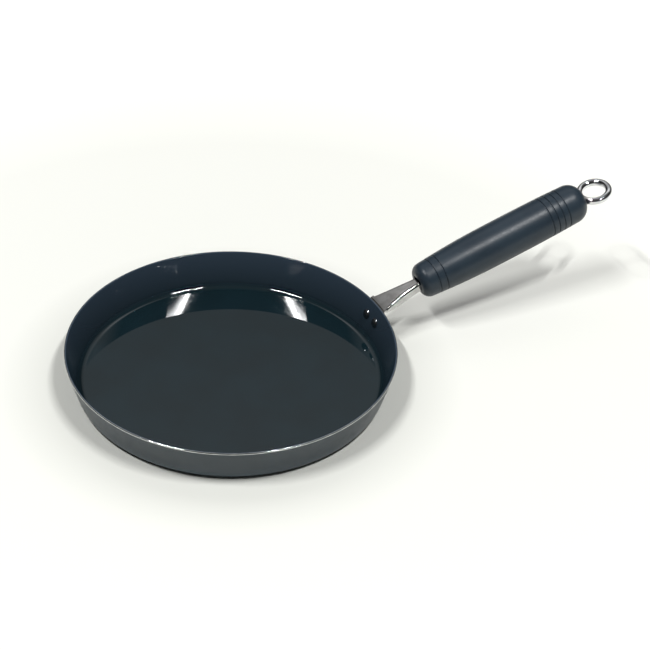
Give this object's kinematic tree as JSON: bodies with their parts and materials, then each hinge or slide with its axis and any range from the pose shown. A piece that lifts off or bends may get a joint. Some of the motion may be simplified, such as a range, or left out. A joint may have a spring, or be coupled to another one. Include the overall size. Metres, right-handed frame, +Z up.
{
  "type": "crepe pan",
  "caption": "Round low-walled steel crepe pan with a riveted folded neck, a ribbed round grip and an eye bolt that clamps the grip and hangs the pan.",
  "frame": {"origin": "middle of the pan's flat underside, on the surface that it rests on", "axes": "+Z up out of the dish, +X level from the dish's middle towards the grip, +Y to the left of the grip seen from the dish"},
  "size_m": [0.4037, 0.2196, 0.0813],
  "materials": {
    "coated_steel": "gloss",
    "plated_steel": "gloss",
    "rivet_steel": "satin",
    "zinc_steel": "satin",
    "phenolic": "satin"
  },
  "bodies": {
    "pan": {"pan_body": "coated_steel", "neck_bracket": "plated_steel", "rivet_1": "rivet_steel", "rivet_2": "rivet_steel", "anchor_nut": "zinc_steel", "handle_grip": "phenolic"},
    "washer": {"end_washer": "zinc_steel"},
    "eye": {"eye_bolt": "plated_steel"}
  },
  "joints": [
    {"name": "bolt_feed", "type": "slide", "parent": "pan", "child": "washer", "axis": [0.9655, 0, 0.2605], "range_m": [0, 0.0042]},
    {"name": "bolt_turn", "type": "hinge", "parent": "washer", "child": "eye", "pos_m": [0.26632, 0, 0.06866], "axis": [0.9655, 0, 0.2605], "range_deg": [0, 1890]}
  ],
  "couplings": [
    {"joint": "bolt_turn", "follows": "bolt_feed", "rad_per_m": 7854}
  ]
}
